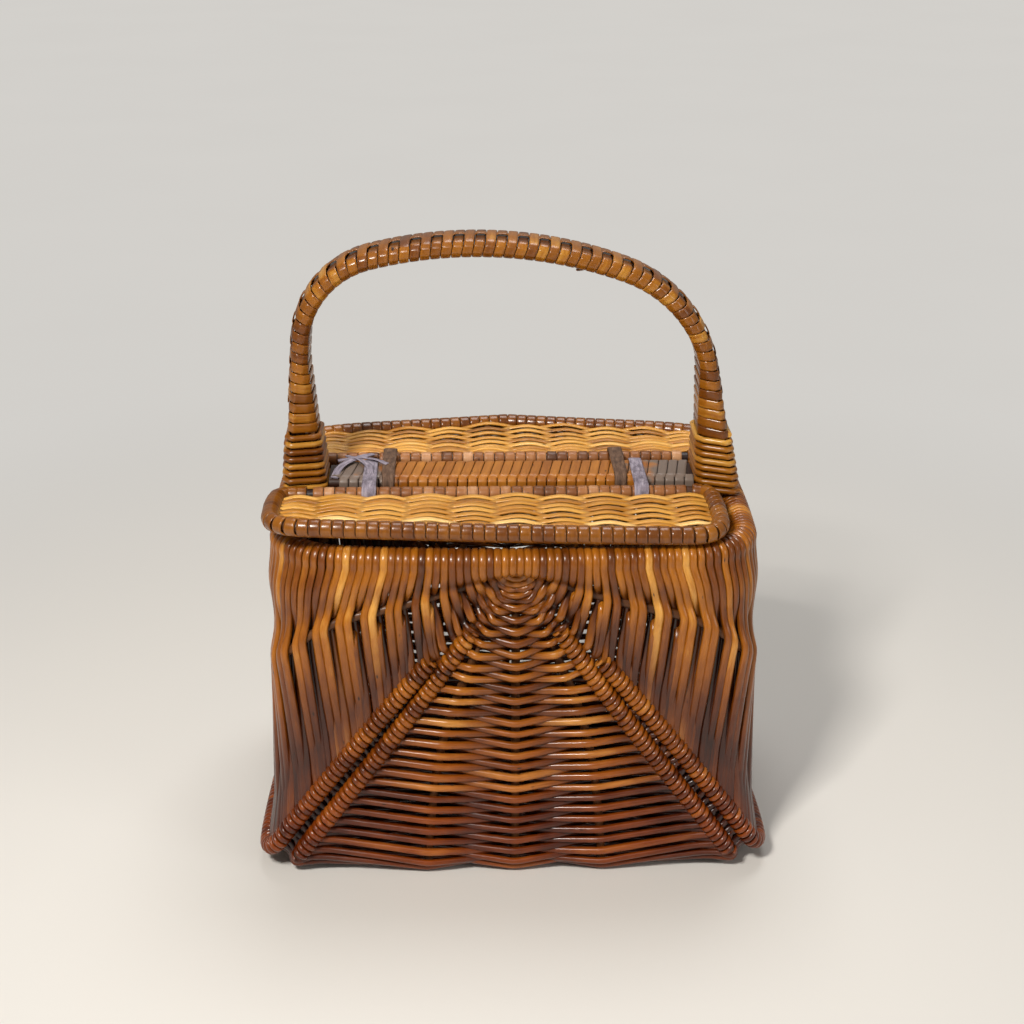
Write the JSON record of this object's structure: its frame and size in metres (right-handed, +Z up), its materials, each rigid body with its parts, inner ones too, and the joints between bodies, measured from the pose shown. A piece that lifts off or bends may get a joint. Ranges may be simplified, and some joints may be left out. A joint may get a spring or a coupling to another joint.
{
  "type": "two-lidded wicker basket",
  "caption": "Ribbed willow basket with a fixed wrapped bow handle, a bar between its feet, and a front and a rear lid that hinge up from the bar.",
  "frame": {"origin": "on the ground, under the middle of the basket", "axes": "+Z up, +Y to the back, +X to the right when seen from the front"},
  "size_m": [0.3374, 0.24, 0.41],
  "materials": {
    "willow_body": "satin",
    "willow_rim": "satin",
    "rib_wood": "matte",
    "handle_cane": "satin",
    "bar_cane": "satin",
    "lid_willow": "satin",
    "tie_leather": "matte"
  },
  "bodies": {
    "basket": {"rim_hoop": "rib_wood", "rim_wraps": "willow_rim", "keel_rib": "rib_wood", "inner_rib_left": "rib_wood", "inner_rib_right": "rib_wood", "corner_rib_left": "rib_wood", "corner_rib_right": "rib_wood", "low_side_rib_left": "rib_wood", "low_side_rib_right": "rib_wood", "high_side_rib_left": "rib_wood", "high_side_rib_right": "rib_wood", "front_ear": "willow_body", "rear_ear": "willow_body", "front_weave": "willow_body", "rear_weave": "willow_body", "left_side_weave": "willow_body", "right_side_weave": "willow_body", "base_weave": "willow_body", "handle_bow": "rib_wood", "handle_wrap": "handle_cane", "handle_leader": "handle_cane", "left_braces": "rib_wood", "right_braces": "rib_wood", "left_foot_binding": "handle_cane", "right_foot_binding": "handle_cane", "bridge_bar": "rib_wood", "bridge_wrap": "bar_cane", "front_tie_left": "tie_leather", "front_tie_right": "tie_leather", "rear_tie_left": "tie_leather", "rear_tie_right": "tie_leather"},
    "front_lid": {"front_lid_hinge_rod": "lid_willow", "front_lid_border": "rib_wood", "front_lid_stakes": "rib_wood", "front_lid_weave": "lid_willow", "front_lid_wraps": "lid_willow"},
    "rear_lid": {"rear_lid_hinge_rod": "lid_willow", "rear_lid_border": "rib_wood", "rear_lid_stakes": "rib_wood", "rear_lid_weave": "lid_willow", "rear_lid_wraps": "lid_willow"}
  },
  "joints": [
    {"name": "front_lid_hinge", "type": "hinge", "parent": "basket", "child": "front_lid", "pos_m": [0, -0.033, 0.2419], "axis": [-1, 0, 0], "range_deg": [0, 90]},
    {"name": "rear_lid_hinge", "type": "hinge", "parent": "basket", "child": "rear_lid", "pos_m": [0, 0.033, 0.2419], "axis": [1, 0, 0], "range_deg": [0, 90]}
  ]
}
